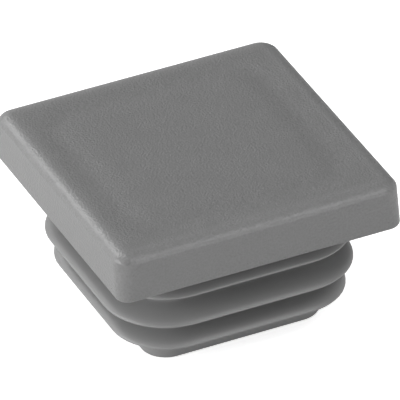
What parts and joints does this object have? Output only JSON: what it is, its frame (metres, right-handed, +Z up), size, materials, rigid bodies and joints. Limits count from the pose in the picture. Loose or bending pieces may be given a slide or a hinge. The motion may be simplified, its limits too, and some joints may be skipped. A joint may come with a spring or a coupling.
{
  "type": "square tube end cap",
  "caption": "Square plastic plug that closes the end of a square tube: a flat soft-edged head over a hollow insert with gripping fins.",
  "frame": {"origin": "centre of the insert's open end, which the cap stands on", "axes": "+Z up, out of the tube, through the middle of the head; X and Y parallel to the head's sides"},
  "size_m": [0.03, 0.03, 0.0167],
  "materials": {
    "grey_plastic": "fine spark-eroded grain on the head, satin on the insert"
  },
  "bodies": {
    "root": {"end_cap": "grey_plastic"}
  },
  "joints": []
}
